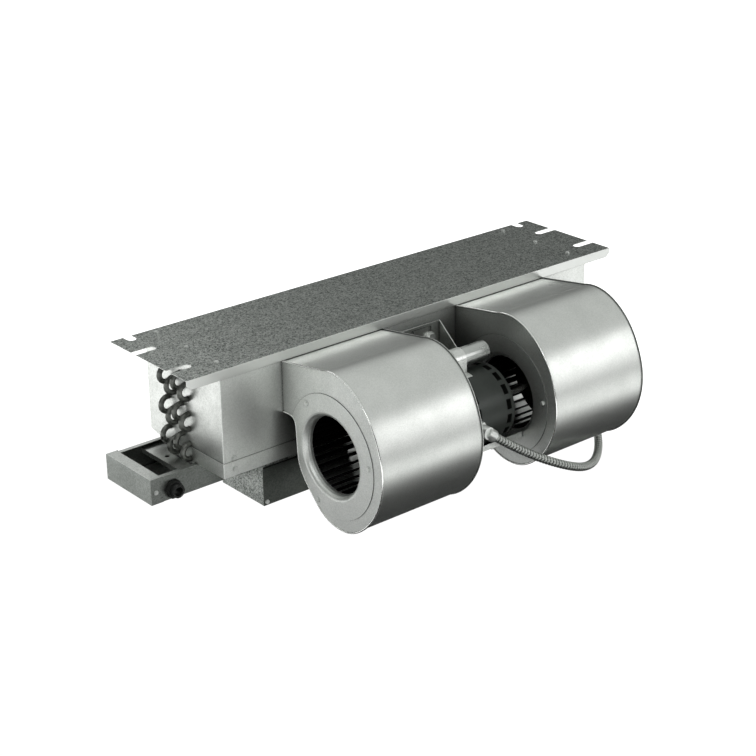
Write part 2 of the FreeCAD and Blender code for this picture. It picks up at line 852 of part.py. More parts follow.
def bearings():
    rings = []
    for side in (-1, 1):
        face = motor_right if side > 0 else motor_left
        x0 = min(face - side * 3, face + side * (bearing_length - 3))
        ring = rod_x(x0, x0 + bearing_length, axis_y, axis_z, bearing_d / 2)
        rings.append(ring.cut(rod_x(x0 - 1, x0 + bearing_length + 1, axis_y, axis_z,
                                    shaft_d / 2 + shaft_fit)))
    return rings


def stator_core():
    half = stator_length / 2
    core = rod_x(fan_middle - half, fan_middle + half, axis_y, axis_z, motor_d / 2 - shell_wall - seat)
    return core.cut(rod_x(fan_middle - half - 1, fan_middle + half + 1, axis_y, axis_z,
                          rotor_d / 2 + air_gap))


def stator_windings():
    coils = []
    outer = motor_d / 2 - winding_inset
    for side in (-1, 1):
        start = fan_middle + side * stator_length / 2
        profile = [(start, outer), (start + side * 8, outer - 2), (start + side * 11, outer - 7),
                   (start + side * 8, rotor_d / 2 + 4), (start, rotor_d / 2 + 2)]
        coils.append(turned_x(profile, axis_y, axis_z))
    return coils


def rotor_core():
    half = stator_length / 2
    core = rod_x(fan_middle - half, fan_middle + half, axis_y, axis_z, rotor_d / 2)
    return core.cut(rod_x(fan_middle - half - 1, fan_middle + half + 1, axis_y, axis_z,
                          shaft_d / 2 + shaft_fit))


def motor_shaft():
    x0 = fan_left - hub_length / 2
    x1 = fan_right + hub_length / 2
    return rod_x(x0, x1, axis_y, axis_z, shaft_d / 2)


# Motor bracket and shelf
def motor_bracket():
    x0 = bracket_middle - bracket_width / 2
    x1 = bracket_middle + bracket_width / 2
    face = deck_y - bracket_sheet
    low = -bracket_bottom
    plate = box(x0, x1, face, deck_y, low, -bracket_top)
    for side in (-1, 1):
        x = bracket_middle + side * bracket_slot_pitch / 2
        top = -bracket_slot_top - bracket_slot_width / 2
        bottom = top - bracket_slot_length
        slot = box(x - bracket_slot_width / 2, x + bracket_slot_width / 2, face - 1, deck_y + 1, bottom, top)
        for z in (top, bottom):
            slot = slot.fuse(rod(Vector(x, face - 1, z), Vector(0, 1, 0), bracket_slot_width / 2,
                                 bracket_sheet + 2))
        plate = plate.cut(slot)
    reach = fan_reach
    slant_z = -bracket_top - bracket_slope * reach
    foot = shelf_top
    outline = [(face, -bracket_top), (deck_y - reach, slant_z), (deck_y - reach, foot),
               (deck_y - reach * 0.26, foot), (face, low)]
    cradle = rod_x(x0 - 1, x1 + 1, axis_y, axis_z, motor_d / 2 + gusset_gap)
    bracket = plate
    for x in (x0, x1 - bracket_sheet):
        gusset = prism_x(outline, x, x + bracket_sheet).cut(cradle)
        foot_side = x + bracket_sheet if x == x0 else x - flange * 0.6
        toe = box(foot_side, foot_side + flange * 0.6, axis_y + motor_d * 0.3, deck_y - reach * 0.26,
                  foot, foot + bracket_sheet)
        bracket = bracket.fuse(gusset).fuse(toe)
    return bracket.removeSplitter()


def stud_places():
    return [(fan_middle + side_x * stud_pitch_x / 2, axis_y + side_y * stud_pitch_y / 2)
            for side_x in (-1, 1) for side_y in (-1, 1)]


def motor_shelf():
    x0 = shelf_left + ring_sheet + slip
    x1 = shelf_right - ring_sheet - slip
    front = deck_y - shelf_front
    top = shelf_top
    low = top - shelf_sheet
    plate = box(x0, x1, front, deck_y - fan_reach * 0.2, low, top)
    lip = box(x0, x1, front, front + shelf_sheet, low, low + shelf_lip)
    half = math.sqrt((motor_d / 2 + seat) ** 2 - (shelf_top - axis_z) ** 2)
    window = box(motor_left - 2, motor_right + 2, axis_y - half, axis_y + half, low - 1, top + 1)
    shelf = plate.fuse(lip).cut(window)
    for x, y in stud_places():
        shelf = shelf.cut(rod(Vector(x, y, low - 1), Vector(0, 0, 1), stud_d / 2 + slip, 4))
    return shelf.removeSplitter()


def motor_studs():
    """Studs from the motor shell down through the shelf, each with its nut."""
    shell = rod_x(motor_left - 5, motor_right + 5, axis_y, axis_z, motor_d / 2)
    low = shelf_top - shelf_sheet
    studs = []
    for x, y in stud_places():
        stud = rod(Vector(x, y, low - stud_length), Vector(0, 0, 1), stud_d / 2, 2 * stud_length + 4)
        stud = stud.cut(shell)
        nut = hexagon(Vector(x, y, low - nut_height), Vector(0, 0, 1), nut_width, nut_height)
        studs.append(stud.fuse(nut))
    return studs


def bracket_bolts():
    bolts = []
    for side in (-1, 1):
        x = bracket_middle + side * bracket_slot_pitch / 2
        start = Vector(x, deck_y - bracket_sheet, -bracket_bolt_drop)
        ahead = Vector(0, -1, 0)
        bolt = rod(start, ahead, washer_d / 2, washer_height)
        bolt = bolt.fuse(hexagon(start, ahead, bolt_head, washer_height + bolt_head_height))
        behind = Vector(x, deck_y + sheet, -bracket_bolt_drop)
        bolt = bolt.fuse(rod(start, Vector(0, 1, 0), stud_d / 2, bracket_sheet + sheet + 2 * nut_height))
        bolts.append(bolt.fuse(hexagon(behind, Vector(0, 1, 0), nut_width, nut_height)))
    return bolts


# Capacitor
def capacitor():
    y = capacitor_y
    z = capacitor_z
    x1 = motor_right + 2.5
    x0 = x1 - capacitor_length
    r = capacitor_d / 2
    profile = [(x0, 0), (x0, r), (x1 - capacitor_crimp, r), (x1, r - capacitor_crimp),
               (x1, r - 2 * capacitor_crimp), (x1 - 0.8, r - 2 * capacitor_crimp), (x1 - 0.8, 0)]
    can = turned_x(profile, y, z)
    for dy in (-6, 6):
        can = can.fuse(box(x0 - 7, x0, y + dy - 3, y + dy + 3, z - 0.4, z + 0.4))
    return can


def capacitor_strap():
    """Band over the capacitor with a foot that follows the motor shell."""
    y = capacitor_y
    z = capacitor_z
    x0 = fan_middle + strap_offset - strap_width / 2
    x1 = x0 + strap_width
    r = capacitor_d / 2 + slip
    band = rod_x(x0, x1, y, z, r + strap_sheet).cut(rod_x(x0 - 1, x1 + 1, y, z, r))
    shell = motor_d / 2 + seat
    reach = 13.0
    foot = rod_x(x0, x1, axis_y, axis_z, shell + strap_sheet)
    foot = foot.cut(rod_x(x0 - 1, x1 + 1, axis_y, axis_z, shell))
    foot = foot.common(box(x0, x1, y - r - strap_sheet - reach, y + r + strap_sheet, axis_z, 0))
    legs = box(x0, x1, y - r - strap_sheet, y - r, axis_z, z)
    legs = legs.fuse(box(x0, x1, y + r, y + r + strap_sheet, axis_z, z))
    legs = legs.cut(rod_x(x0 - 1, x1 + 1, axis_y, axis_z, shell))
    inside = rod_x(x0 - 1, x1 + 1, y, z, r)
    return band.fuse(legs).fuse(foot).cut(inside).removeSplitter()


# Conduit and its fittings
def motor_fitting():
    """Right-angle squeeze fitting on the motor shell."""
    elbow = Vector(fitting_x, fitting_y, fitting_z)
    radial = Vector(0, 1, 0)
    seat_y = axis_y - math.sqrt((motor_d / 2) ** 2 - (fitting_z - axis_z) ** 2)
    leg = rod(elbow, radial, fitting_d / 2, seat_y - fitting_y)
    nut = hexagon(Vector(fitting_x, seat_y - 8, fitting_z), radial, fitting_nut * 0.86, 5)
    stem = rod(Vector(fitting_x, seat_y - 1, fitting_z), radial, stem_d / 2, 1 + 2 * shell_wall)
    knuckle = rod(elbow - Vector(0, fitting_d * 0.3, 0), radial, fitting_d / 2, fitting_d * 0.3)
    outlet = rod(elbow, conduit_aim, fitting_d / 2, fitting_outlet)
    body = leg.fuse(nut).fuse(knuckle).fuse(outlet)
    shell = rod_x(motor_left - 30, motor_right + 30, axis_y, axis_z, motor_d / 2 + seat)
    return body.cut(shell).fuse(stem).removeSplitter()


def box_fitting():
    """Straight squeeze fitting with its locknut inside the box wall."""
    y, z = box_entry.y, box_entry.z
    wall = box_right
    body = rod_x(wall, box_entry.x, y, z, fitting_d / 2)
    body = body.fuse(hexagon(Vector(wall, y, z), Vector(1, 0, 0), fitting_nut, 6))
    body = body.fuse(rod_x(wall - sheet - 8, wall, y, z, knockout_d / 2 - seat))
    nut = hexagon(Vector(wall - sheet - 4, y, z), Vector(1, 0, 0), fitting_nut * 1.1, 4)
    body = body.fuse(nut)
    return body.cut(rod_x(wall - sheet - 9, wall + 8, y, z, fitting_d * 0.35)).removeSplitter()


def conduit():
    """Tube along straight runs joined by tangent arcs."""
    route = conduit_route
    edges = []
    radii = []
    start = route[0]
    for index in range(1, len(route) - 1):
        before = route[index] - route[index - 1]
        after = route[index + 1] - route[index]
        shorter = min(before.Length, after.Length)
        turn = before.getAngle(after)
        back = conduit_bend * shorter
        radius = back / math.tan(turn / 2)
        radii.append(round(radius))
        a = route[index] - Vector(before).normalize() * back
        b = route[index] + Vector(after).normalize() * back
        middle_way = ((a + b) * 0.5 - route[index])
        depth = radius / math.cos(turn / 2) - radius
        middle = route[index] + middle_way.normalize() * depth
        edges.append(Part.LineSegment(start, a).toShape())
        edges.append(Part.Arc(a, middle, b).toShape())
        start = b
    edges.append(Part.LineSegment(start, route[-1]).toShape())
    path = Part.Wire(edges)
    radius = conduit_d / 2
    circle = Part.Wire(Part.Circle(route[0], conduit_aim, radius).toShape())
    tube = path.makePipeShell([circle], True, False)
    ideal = math.pi * radius ** 2 * path.Length
    print("conduit radii", radii, "length", round(path.Length), "volume ratio",
          round(tube.Volume / ideal, 4))
    return tube


# Screws of the casing
def casing_screws():
    up = Vector(0, 0, 1)
    ahead = Vector(0, -1, 0)
    heads = []
    for side in (-1, 1):
        for y in panel_screw_rows:
            heads.append(screw(Vector(side * (panel_length / 2 - panel_screw_inset), y, 0), up))
        x = side * (casing_half - 19)
        heads.append(screw(Vector(x, deck_y, -casing_height + tray_flange + 4.6), ahead))
        heads.append(screw(Vector(x, panel_front, -casing_height + tray_flange * 0.5), ahead))
    heads.append(screw(Vector(-pan_left + 9, pan_y - sheet, pan_top - 22), ahead))
    return heads


keep("top_panel", [top_panel()])
keep("left_end_plate", [end_plate(-1)])
keep("right_end_plate", [end_plate(1)])
keep("fan_deck", [fan_deck()])
keep("bottom_tray", [bottom_tray()])
keep("rear_frame", [rear_frame()])
keep("duct_collar", [duct_collar()])
keep("coil_fins", [coil_fins()])
keep("coil_tubes", coil_tubes())
keep("left_return_bends", left_bends())
keep("right_return_bends", right_bends())
keep("supply_header", [header(row_count - 1, -high_tube - 3.6 * tube_pitch)])
keep("return_header", [header(0, -high_tube - 1.9 * tube_pitch)])
keep("air_vent", [air_vent(0)])
keep("drain_pan", [drain_pan()])
keep("pan_end_cap", [pan_end_cap()])
keep("pan_bridge", [pan_bridge()])
keep("drain_fitting", [drain_fitting()])
keep("drain_locknut", [drain_nut_ring()])
keep("pan_hangers", pan_hangers())
keep("junction_box", [junction_box()])
keep("box_cover", [box_cover()])
keep("box_screws", box_screws())
keep("terminal_block", [terminal_block()])
for name, centre in (("left", fan_left), ("right", fan_right)):
    keep(name + "_scroll_wrap", [scroll_wrap(centre)])
    keep(name + "_scroll_outer_side", [scroll_side(centre, -1 if name == "left" else 1)])
    keep(name + "_scroll_inner_side", [scroll_side(centre, 1 if name == "left" else -1)])
    keep(name + "_outer_inlet_ring", [inlet_ring(centre, -1 if name == "left" else 1)])
    keep(name + "_inner_inlet_ring", [inlet_ring(centre, 1 if name == "left" else -1)])
    keep(name + "_blower_wheel", [blower_wheel(centre)])
keep("ring_screws", ring_screws())
keep("wheel_set_screws", set_screws())
keep("motor_shell", [motor_shell()])
keep("motor_left_bell", [motor_bell(-1)])
keep("motor_right_bell", [motor_bell(1)])
keep("motor_bearings", bearings())
keep("stator_core", [stator_core()])
keep("stator_windings", stator_windings())
keep("rotor_core", [rotor_core()])
keep("motor_shaft", [motor_shaft()])
keep("motor_bracket", [motor_bracket()])
keep("bracket_bolts", bracket_bolts())
keep("motor_shelf", [motor_shelf()])
keep("motor_studs", motor_studs())
keep("capacitor", [capacitor()])
keep("capacitor_strap", [capacitor_strap()])
keep("motor_conduit_fitting", [motor_fitting()])
keep("box_conduit_fitting", [box_fitting()])
keep("flexible_conduit", [conduit()])
keep("casing_screws", casing_screws())
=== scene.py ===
import math

import bpy
from mathutils import Matrix, Vector


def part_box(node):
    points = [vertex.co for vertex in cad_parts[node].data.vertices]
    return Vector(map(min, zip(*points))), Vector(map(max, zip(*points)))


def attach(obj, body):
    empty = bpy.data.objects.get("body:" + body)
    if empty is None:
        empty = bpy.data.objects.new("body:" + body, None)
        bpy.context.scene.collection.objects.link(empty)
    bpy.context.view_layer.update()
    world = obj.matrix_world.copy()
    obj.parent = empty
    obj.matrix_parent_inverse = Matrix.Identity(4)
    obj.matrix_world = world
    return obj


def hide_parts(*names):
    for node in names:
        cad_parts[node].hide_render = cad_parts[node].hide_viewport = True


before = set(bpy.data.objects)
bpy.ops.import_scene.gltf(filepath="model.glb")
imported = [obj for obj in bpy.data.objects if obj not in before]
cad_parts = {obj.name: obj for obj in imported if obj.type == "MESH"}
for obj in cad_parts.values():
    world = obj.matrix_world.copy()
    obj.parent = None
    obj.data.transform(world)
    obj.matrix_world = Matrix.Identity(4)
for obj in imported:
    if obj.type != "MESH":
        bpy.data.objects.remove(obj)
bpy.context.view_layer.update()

MM = 0.001
scene = bpy.context.scene
scene.view_settings.view_transform = "Standard"


# camera
CAMERA_PLACE = (-1.7529, -2.1013, 1.0154)
CAMERA_AZIMUTH = math.radians(-39.87)
CAMERA_ELEVATION = math.radians(23.166)
CAMERA_ROLL = math.radians(-0.628)
FOCAL_LENGTH = 83.95
FILM_WIDTH = 36.0


def add_camera():
    """Camera at the photograph's viewing place and angles."""
    back = Vector((math.sin(CAMERA_AZIMUTH) * math.cos(CAMERA_ELEVATION),
                   -math.cos(CAMERA_AZIMUTH) * math.cos(CAMERA_ELEVATION),
                   math.sin(CAMERA_ELEVATION)))
    right = (-back).cross(Vector((0, 0, 1))).normalized()
    up = right.cross(-back)
    turned_right = math.cos(CAMERA_ROLL) * right + math.sin(CAMERA_ROLL) * up
    turned_up = -math.sin(CAMERA_ROLL) * right + math.cos(CAMERA_ROLL) * up
    data = bpy.data.cameras.new("camera")
    data.sensor_width = FILM_WIDTH
    data.lens = FOCAL_LENGTH
    data.clip_end = 50.0
    camera = link(bpy.data.objects.new("camera", data))
    rotation = Matrix((turned_right, turned_up, back)).transposed().to_4x4()
    camera.matrix_world = Matrix.Translation(CAMERA_PLACE) @ rotation
    scene.camera = camera


# mesh helpers
def link(obj):
    scene.collection.objects.link(obj)
    return obj


def mesh_object(name, verts, faces, material, smooth=False):
    """New mesh from vertices in millimetres."""
    mesh = bpy.data.meshes.new(name)
    mesh.from_pydata([[c * MM for c in vert] for vert in verts], [], faces)
    mesh.materials.append(material)
    if smooth:
        for poly in mesh.polygons:
            poly.use_smooth = True
    return link(bpy.data.objects.new(name, mesh))


# material helpers
def linear(hex_colour):
    """Linear RGBA of an sRGB hex colour."""
    channels = [int(hex_colour[i:i + 2], 16) / 255 for i in (1, 3, 5)]
    return [c / 12.92 if c <= 0.04045 else ((c + 0.055) / 1.055) ** 2.4 for c in channels] + [1.0]


def add_node(tree, kind, inputs, **settings):
    """Adds a node and gives its outputs. inputs maps each socket to a value or an output."""
    made = tree.nodes.new(kind)
    for key, value in settings.items():
        setattr(made, key, value)
    for key, value in inputs.items():
        if isinstance(value, bpy.types.NodeSocket):
            tree.links.new(value, made.inputs[key])
        else:
            made.inputs[key].default_value = value
    return made.outputs


def start_tree(owner):
    """Empty node tree of a material or world, and the coordinates for its patterns."""
    owner.use_nodes = True
    owner.node_tree.nodes.clear()
    return owner.node_tree, add_node(owner.node_tree, "ShaderNodeTexCoord", {})


def finish_tree(tree, surface):
    """Ends the tree in the shader, given the values of its sockets."""
    shader = add_node(tree, "ShaderNodeBsdfPrincipled", surface)
    add_node(tree, "ShaderNodeOutputMaterial", {"Surface": shader["BSDF"]})


def faces_looking(tree, axis, none, full):
    """1 on faces whose normal reaches full along the axis, 0 below none, soft between."""
    normal = add_node(tree, "ShaderNodeNewGeometry", {})["Normal"]
    part = add_node(tree, "ShaderNodeSeparateXYZ", {0: normal})[axis]
    return add_node(tree, "ShaderNodeMapRange", {0: part, 1: none, 2: full})[0]


def painted_shade_in_folds(tree, colour, reach, depth):
    """The colour with painted shade: made darker by depth where another face is within reach, in
    millimetres.
    """
    free = add_node(tree, "ShaderNodeAmbientOcclusion", {"Distance": reach * MM}, samples=6)["AO"]
    shade = add_node(tree, "ShaderNodeMapRange", {0: free, 1: 0.25, 2: 0.85, 3: 1 - depth, 4: 1.0})[0]
    return add_node(tree, "ShaderNodeMix", {0: 1.0, 6: colour, 7: shade},
                    data_type="RGBA", blend_type="MULTIPLY")[2]


# sizes of the zinc's patterns, and of the painted shade in its folds, in millimetres
SMALL_CRYSTAL_SHARE = 0.45
BLOOM_SIZE = 45
SHEET_WAVE_LENGTH = 30
SHEET_WAVE_HEIGHT = 0.4
FOLD_SHADE_REACH = 6
FOLD_SHADE_DEPTH = 0.7


def galvanised(name, dark, light, crystal, rough_low, rough_high, bloom_share=0.25, wave=0.25,
               upper=None, shaded=(5, 0.6), lip=None):
    """Hot-dip zinc: crystals of differing grey under a faint dull bloom.

    crystal is in millimetres. upper is a pair of colours for faces that look up: painted light
    or shade for how the top is lit. shaded is how far off, in millimetres, a neighbour darkens
    the sheet with painted shade, and by how much. lip is a painted highlight: the bright colour
    of faces that look to the front.
    """
    material = bpy.data.materials.new(name)
    tree, coords = start_tree(material)
    place = coords["Object"]
    greys = []
    for across in (crystal, crystal * SMALL_CRYSTAL_SHARE):
        cells = add_node(tree, "ShaderNodeTexVoronoi", {"Vector": place, "Scale": 1 / (across * MM)})
        greys.append(add_node(tree, "ShaderNodeSeparateColor", {0: cells["Color"]})[0])
    spangle = add_node(tree, "ShaderNodeMix", {0: 0.5, 2: greys[0], 3: greys[1]})[0]
    bloom = add_node(tree, "ShaderNodeTexNoise", {"Vector": place, "Scale": 1 / (BLOOM_SIZE * MM),
                                                  "Detail": 3})[0]
    tone = add_node(tree, "ShaderNodeMix", {0: bloom_share, 2: spangle, 3: bloom})[0]
    tone = add_node(tree, "ShaderNodeMapRange", {0: tone, 1: 0.2, 2: 0.8})[0]
    colour = add_node(tree, "ShaderNodeMix", {0: tone, 6: linear(dark), 7: linear(light)},
                      data_type="RGBA")[2]
    # painted light or shade: faces that look up take the upper colours, for how the top is lit
    if upper:
        dull = add_node(tree, "ShaderNodeMix", {0: tone, 6: linear(upper[0]), 7: linear(upper[1])},
                        data_type="RGBA")[2]
        colour = add_node(tree, "ShaderNodeMix", {0: faces_looking(tree, "Z", 0.6, 0.8),
                                                  6: colour, 7: dull}, data_type="RGBA")[2]
    # painted shade, in the folds and where neighbours stand close
    for reach, depth in (shaded, (FOLD_SHADE_REACH, FOLD_SHADE_DEPTH)):
        colour = painted_shade_in_folds(tree, colour, reach, depth)
    # painted highlight: faces that look to the front take the bright lip colour
    if lip:
        colour = add_node(tree, "ShaderNodeMix", {0: faces_looking(tree, "Y", -0.5, -0.9),
                                                  6: colour, 7: linear(lip)}, data_type="RGBA")[2]
    rough = add_node(tree, "ShaderNodeMapRange", {0: tone, 1: 0.15, 2: 0.85,
                                                  3: rough_high, 4: rough_low})[0]
    swell = add_node(tree, "ShaderNodeTexNoise", {"Vector": place,
                                                  "Scale": 1 / (SHEET_WAVE_LENGTH * MM)})[0]
    waved = add_node(tree, "ShaderNodeBump", {"Height": swell, "Strength": wave,
                                              "Distance": SHEET_WAVE_HEIGHT * MM})[0]
    finish_tree(tree, {"Base Color": colour, "Metallic": 1.0, "Roughness": rough, "Normal": waved})
    return material


def plain_metal(name, dark, light, cloud, rough_low, rough_high, metallic=1.0, grain=0.0):
    """Metal or enamel with clouds of tone, cloud millimetres across.

    grain is how strongly a relief ten times finer than the clouds shows.
    """
    material = bpy.data.materials.new(name)
    tree, coords = start_tree(material)
    place = coords["Object"]
    tone = add_node(tree, "ShaderNodeTexNoise", {"Vector": place, "Scale": 1 / (cloud * MM),
                                                 "Detail": 4})[0]
    colour = add_node(tree, "ShaderNodeMix", {0: tone, 6: linear(dark), 7: linear(light)},
                      data_type="RGBA")[2]
    rough = add_node(tree, "ShaderNodeMapRange", {0: tone, 1: 0.3, 2: 0.7,
                                                  3: rough_low, 4: rough_high})[0]
    surface = {"Base Color": colour, "Metallic": metallic, "Roughness": rough}
    if grain:
        peel = add_node(tree, "ShaderNodeTexNoise", {"Vector": place, "Scale": 10 / (cloud * MM),
                                                     "Detail": 3})[0]
        surface["Normal"] = add_node(tree, "ShaderNodeBump", {"Height": peel, "Strength": grain,
                                                              "Distance": 0.2 * MM})[0]
    finish_tree(tree, surface)
    return material


def moulded_plastic(name, dark, light, rough):
    """Plastic with a spark-eroded grain, drawn 0.8 mm wide, coarser than the real, so it shows."""
    material = bpy.data.materials.new(name)
    tree, coords = start_tree(material)
    place = coords["Object"]
    tone = add_node(tree, "ShaderNodeTexNoise", {"Vector": place, "Scale": 1 / (12 * MM)})[0]
    colour = add_node(tree, "ShaderNodeMix", {0: tone, 6: linear(dark), 7: linear(light)},
                      data_type="RGBA")[2]
    grain = add_node(tree, "ShaderNodeTexNoise", {"Vector": place, "Scale": 1 / (0.8 * MM)})[0]
    grained = add_node(tree, "ShaderNodeBump", {"Height": grain, "Strength": 0.3,
                                                "Distance": 0.05 * MM})[0]
    finish_tree(tree, {"Base Color": colour, "Roughness": rough, "Normal": grained})
    return material


# finishes
# zinc that froze in small crystals: a speckled top, painted a darker grey where it looks up, and a lip
# that looks to the front, painted bright, for how the light falls on each
panel_zinc = galvanised("fine_spangle_galvanised", "#C0C3C0", "#E8EAE7", 2.6, 0.30, 0.42, 0.15,
                        upper=("#4A4F4B", "#D2D6D2"), lip="#E0E2DF")
# casing sheet with a dull bloom over its crystals: bright, with soft clouds
sheet_zinc = galvanised("bright_galvanised_sheet", "#C2C5C1", "#E4E6E3", 2.2, 0.28, 0.42, 0.5)
# rolled smooth after the zinc bath: paler, with blurred reflections, and painted shade near the
# blowers
deck_zinc = galvanised("smooth_deck_sheet", "#DADDD9", "#F4F6F3", 2.2, 0.36, 0.48, 0.5,
                       shaded=(110, 0.7))
# sheet with strong crystals: a coarse speckle from dark to pale
box_zinc = galvanised("speckled_galvanised_box", "#5F6460", "#C4C8C4", 2.4, 0.32, 0.50, 0.15)
# coil stock bent round the blowers: satin, with wide soft bands of light
scroll_zinc = galvanised("satin_rolled_zinc", "#CACDC9", "#E2E4E1", 1.3, 0.34, 0.42, 0.5, 0.1)
# pressed sheet: matt and even, in shadow towards the deck and the motor
side_zinc = galvanised("dull_scroll_side_zinc", "#CBCECB", "#E4E6E3", 1.6, 0.42, 0.54, 0.4,
                       shaded=(90, 0.8))
# zinc of the drain pan: grey on its sides, and painted paler where it looks up, as lit from above
pan_zinc = galvanised("dull_pan_zinc", "#767A76", "#9A9E9A", 2.2, 0.34, 0.46, 0.5,
                      upper=("#B4B8B4", "#DCDEDB"))
# box cover: painted dark grey for the shade of the unit above it, and dull
cover_zinc = galvanised("dark_cover_zinc", "#4A4E4A", "#626662", 2.2, 0.36, 0.48, 0.5)
# thin strip of the wheels, rough: painted nearly black, with deep painted shade, for the shade inside
# the housings
wheel_zinc = galvanised("wheel_zinc_strip", "#1E201E", "#363836", 3.0, 0.50, 0.65,
                        shaded=(30, 0.9))
# zinc pressed smooth by the seaming roll: a thin bright line
seam_zinc = plain_metal("bright_seam_zinc", "#EEF0ED", "#FAFBF9", 6, 0.14, 0.22)
# electroplated zinc, partly scattering: pale heads with a soft shine
bolt_zinc = plain_metal("zinc_plated_fasteners", "#C9CCC9", "#EFF1EE", 6, 0.32, 0.44, metallic=0.75)
# galvanised strip wound into the conduit: mid grey with a highlight on each ridge
conduit_zinc = plain_metal("zinc_conduit_strip", "#9EA19D", "#C4C7C3", 5, 0.36, 0.46)
# the same strip deep between two ridges, painted dark for the shade there
conduit_valley_shade = plain_metal("shaded_conduit_seam", "#3C3F3C", "#595C59", 5, 0.4, 0.5)
# stoved enamel: dark grey with a soft shine and a little orange peel
enamel = plain_metal("dark_motor_enamel", "#262A27", "#3A3F3B", 20, 0.36, 0.48, 0.35, 0.15)
# ground steel: smooth, with sharp highlights
ground = plain_metal("ground_shaft_steel", "#9A9B99", "#C2C3C0", 10, 0.16, 0.26)
# stamped electrical steel, oxidised: dark and rough
laminate = plain_metal("oxidised_laminations", "#2A2B2C", "#454545", 4, 0.5, 0.7)
# copper wire under varnish: deep brown, with a grain of wires
winding = plain_metal("varnished_copper_winding", "#5A3219", "#8A4F28", 2, 0.35, 0.5, 0.6, 0.4)
# drawn tube, dulled by heat at its joints: dark, with pale patches
tube_metal = plain_metal("dull_coil_tube", "#4A4C49", "#8A8C87", 9, 0.30, 0.48)
# turned brass: warm and fairly smooth
brass = plain_metal("vent_brass", "#8C7440", "#B89B5C", 6, 0.25, 0.4)
# thin rolled aluminium: pale, with blurred highlights
fin_metal = plain_metal("aluminium_fin_stock", "#9DA19F", "#BFC3C1", 15, 0.3, 0.45)
# drawn aluminium can: smooth, with a bright streak along it
can_metal = plain_metal("drawn_aluminium_can", "#A9ACA9", "#C9CCC9", 12, 0.24, 0.36)
# moulded plastic: black, with a soft shine broken by fine grain
black = moulded_plastic("black_moulded_plastic", "#141514", "#222422", 0.45)

finishes = {
    panel_zinc: ["top_panel", "rear_frame", "duct_collar"],
    sheet_zinc: ["left_end_plate", "right_end_plate", "motor_bracket", "motor_shelf",
                 "pan_hangers", "pan_bridge", "capacitor_strap"],
    deck_zinc: ["fan_deck", "bottom_tray"],
    pan_zinc: ["drain_pan", "pan_end_cap"],
    cover_zinc: ["box_cover"],
    box_zinc: ["junction_box"],
    scroll_zinc: ["left_scroll_wrap", "right_scroll_wrap"],
    side_zinc: ["left_scroll_outer_side", "left_scroll_inner_side", "right_scroll_outer_side",
                "right_scroll_inner_side", "left_outer_inlet_ring", "left_inner_inlet_ring",
                "right_outer_inlet_ring", "right_inner_inlet_ring"],
    wheel_zinc: ["left_blower_wheel", "right_blower_wheel"],
    bolt_zinc: ["box_screws", "ring_screws", "wheel_set_screws", "bracket_bolts", "motor_studs",
                "casing_screws", "motor_conduit_fitting", "box_conduit_fitting"],
    enamel: ["motor_shell", "motor_left_bell", "motor_right_bell"],
    ground: ["motor_shaft", "motor_bearings"],
    laminate: ["stator_core", "rotor_core"],
    winding: ["stator_windings"],
    tube_metal: ["coil_tubes", "left_return_bends", "right_return_bends", "supply_header",
                 "return_header"],
    brass: ["air_vent"],
    fin_metal: ["coil_fins"],
    can_metal: ["capacitor"],
    black: ["terminal_block", "drain_fitting", "drain_locknut"],
}
for material, names in finishes.items():
    for name in names:
        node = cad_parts[name]
        node.data.materials.clear()
        node.data.materials.append(material)


# sheet edges, rounded so that they catch the light
EDGE_ROUND = 0.45
SHEET_NODES = ["left_scroll_outer_side", "left_scroll_inner_side", "right_scroll_outer_side",
               "right_scroll_inner_side", "top_panel", "fan_deck", "bottom_tray", "left_end_plate",
               "drain_pan", "pan_end_cap", "junction_box", "box_cover", "motor_bracket"]
for name in SHEET_NODES:
    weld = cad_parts[name].modifiers.new("weld", "WELD")
    weld.merge_threshold = 0.02 * MM
    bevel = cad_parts[name].modifiers.new("rounded_edge", "BEVEL")
    bevel.width = EDGE_ROUND * MM
    bevel.segments = 3
    bevel.angle_limit = math.radians(50)


# flexible conduit, on the route that the solids follow, given in metres
ELBOW = Vector((-0.0320, -0.3027, -0.1410))
AIM = Vector((0.80, -0.10, -0.60)).normalized()
ENTRY = Vector((0.2150, -0.0688, -0.2145))
ROUTE = [
    ELBOW + AIM * 0.017,
    ELBOW + AIM * 0.095,
    Vector((0.139, -0.327, -0.249)),
    Vector((0.210, -0.306, -0.275)),
    Vector((0.271, -0.264, -0.277)),
    Vector((0.315, -0.212, -0.258)),
    Vector((0.330, -0.154, -0.237)),
    Vector((0.313, -0.098, -0.220)),
    ENTRY + Vector((0.053, 0, 0)),
    ENTRY,
]

# its make, in millimetres
CONDUIT_D = 14.5
CONDUIT_STEP = 0.45
CONDUIT_SIDES = 24
RIDGE_PITCH = 6.7
RIDGE_DEPTH = 1.6
RIDGE_SHARE = 0.8


def smooth_line(points, name):
    """Points, in millimetres, read from a smooth spline controlled by the route in metres."""
    data = bpy.data.curves.new(name, "CURVE")
    data.dimensions = "3D"
    data.resolution_u = 60
    spline = data.splines.new("NURBS")
    spline.points.add(len(points) - 1)
    for point, place in zip(spline.points, points):
        point.co = (*place, 1.0)
    spline.order_u = 3
    spline.use_endpoint_u = True
    holder = link(bpy.data.objects.new(name, data))
    bpy.context.view_layer.update()
    mesh = bpy.data.meshes.new_from_object(holder)
    line = [vert.co / MM for vert in mesh.vertices]
    bpy.data.objects.remove(holder)
    bpy.data.meshes.remove(mesh)
    return line


